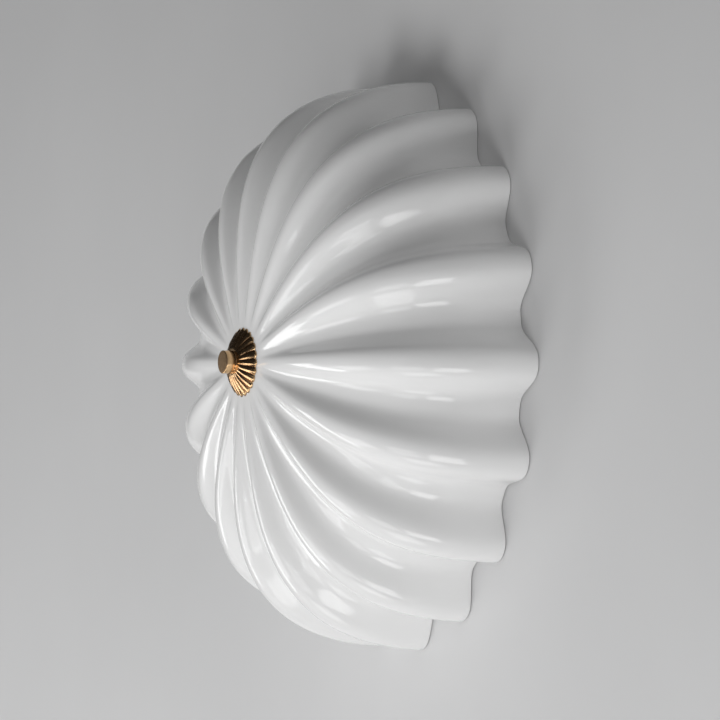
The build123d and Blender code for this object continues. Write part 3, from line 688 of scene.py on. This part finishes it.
def glazed_ceramic():
    """White clay under a clear glaze, with faint clouds and ripples."""
    material, nodes, links, shader = new_material("glazed_ceramic")
    set_inputs(shader, IOR=1.52, Specular_IOR_Level=0.3, Coat_Weight=0.15, Coat_Roughness=0.08)
    cloud = add_effect(nodes, cloudiness, Scale=9.0, Detail=3.0, Contrast=1.6)
    body = color_between(nodes, links, cloud, (0.80, 0.80, 0.797), (0.83, 0.83, 0.828))
    links.new(body, shader.inputs["Base Color"])
    links.new(number_between(nodes, links, cloud, 0.10, 0.15), shader.inputs["Roughness"])
    ripple = add_effect(nodes, cloudiness, Scale=34.0, Detail=1.0, Contrast=1.0)
    add_bump(nodes, links, shader, ripple, 0.3, 0.0005)
    return material


glaze = glazed_ceramic()
shade.data.materials.append(glaze)
print("glaze nodes:", len(glaze.node_tree.nodes))

# %% [markdown]
# ## Aged brass
# The cap and knob are brass, brushed on a lathe and darkened, then rubbed so that the ridges are bright
# again. Metal shows little colour of its own: it tints what it reflects, so the finish is in how rough it
# is, and how the colour changes from the bright ridges to the brown grooves.

# %% Aged brass


def aged_brass():
    """Brass that is bright on its ridges and brown in its grooves, with fine turned lines."""
    material, nodes, links, shader = new_material("aged_brass")
    set_inputs(shader, Metallic=1.0)
    ridge = add_effect(nodes, raised_edges, Start=0.47, End=0.53)
    lines = add_effect(nodes, turned_lines, Rings=9000.0, Length=3.0, Contrast=1.8)
    tone = color_between(nodes, links, ridge, (0.24, 0.105, 0.045), (0.76, 0.51, 0.28))
    links.new(tone, shader.inputs["Base Color"])
    links.new(number_between(nodes, links, lines, 0.17, 0.28), shader.inputs["Roughness"])
    add_bump(nodes, links, shader, lines, 0.15, 0.00003)
    return material


brass = aged_brass()
for piece in (cap, knob):
    piece.data.materials.append(brass)
print("brass nodes:", len(brass.node_tree.nodes))

# %% [markdown]
# ## The finishes behind the dome
# Behind the dome are painted steel, zinc plate, bare brass, moulded plastic, rubber, wire and glass. Most
# of them differ only in a few values: two colours that the clouds mix, how rough the surface is, whether it
# is a metal, and how deep its grain is. One function makes them all from those values. The opal globes let
# some light in.

# %% Finishes behind the dome


grain_fineness = 30
grain_strength = 0.5


def finish(name, low, high, roughness, metallic=0.0, scale=60.0, grain=0.0, **extra):
    """A surface with cloudy colour and roughness, and fine grain where its depth is given."""
    material, nodes, links, shader = new_material(name)
    set_inputs(shader, Metallic=metallic, **extra)
    cloud = add_effect(nodes, cloudiness, Scale=scale, Detail=4.0, Contrast=1.8)
    tone = color_between(nodes, links, cloud, low, high)
    links.new(tone, shader.inputs["Base Color"])
    links.new(number_between(nodes, links, cloud, *roughness), shader.inputs["Roughness"])
    if grain:
        fine = add_effect(nodes, cloudiness, Scale=scale * grain_fineness, Detail=2.0, Contrast=1.0)
        add_bump(nodes, links, shader, fine, grain_strength, grain)
    return material


finishes = {"glazed_ceramic": glaze, "aged_brass": brass}
finishes["white_enamel"] = finish(
    "white_enamel", (0.70, 0.70, 0.69), (0.76, 0.76, 0.75), (0.28, 0.4), grain=0.00003
)
finishes["zinc_steel"] = finish(
    "zinc_steel",
    (0.52, 0.53, 0.55),
    (0.66, 0.67, 0.68),
    (0.25, 0.42),
    metallic=1.0,
    scale=300.0,
    grain=0.00001,
)
finishes["contact_brass"] = finish(
    "contact_brass", (0.72, 0.53, 0.26), (0.83, 0.65, 0.36), (0.2, 0.35), metallic=1.0, scale=250.0
)
finishes["tinned_copper"] = finish(
    "tinned_copper", (0.60, 0.58, 0.56), (0.70, 0.69, 0.67), (0.3, 0.45), metallic=1.0, scale=400.0
)
finishes["nickel_cap"] = finish(
    "nickel_cap", (0.62, 0.60, 0.57), (0.72, 0.71, 0.68), (0.18, 0.3), metallic=1.0, scale=250.0
)
finishes["black_glass"] = finish(
    "black_glass", (0.008, 0.008, 0.01), (0.02, 0.02, 0.024), (0.06, 0.12), scale=200.0
)
finishes["holder_white"] = finish(
    "holder_white", (0.66, 0.65, 0.62), (0.72, 0.71, 0.68), (0.45, 0.6), grain=0.00003
)
finishes["white_nylon"] = finish(
    "white_nylon", (0.68, 0.68, 0.65), (0.76, 0.76, 0.73), (0.35, 0.5), grain=0.00002
)
finishes["clear_silicone"] = finish(
    "clear_silicone", (0.60, 0.61, 0.61), (0.68, 0.69, 0.69), (0.3, 0.45), grain=0.00001
)
finishes["black_rubber"] = finish(
    "black_rubber", (0.012, 0.012, 0.012), (0.025, 0.025, 0.026), (0.55, 0.75), grain=0.00005
)
finishes["white_sleeve"] = finish(
    "white_sleeve", (0.66, 0.66, 0.64), (0.74, 0.74, 0.72), (0.35, 0.5), scale=200.0
)
finishes["green_yellow_sleeve"] = finish(
    "green_yellow_sleeve", (0.06, 0.30, 0.05), (0.08, 0.34, 0.06), (0.35, 0.5)
)
finishes["opal_glass"] = finish(
    "opal_glass", (0.78, 0.78, 0.76), (0.83, 0.83, 0.81), (0.12, 0.2), Subsurface_Weight=0.3
)

slot_of = {row["node"]: row["material_slot"] for row in frame["record"]["subparts"]}
for name, node in frame["nodes"].items():
    for slot in node.material_slots:
        slot.material = finishes[slot_of[name]]
print("finishes:", len(finishes), "pieces dressed:", len(slot_of))
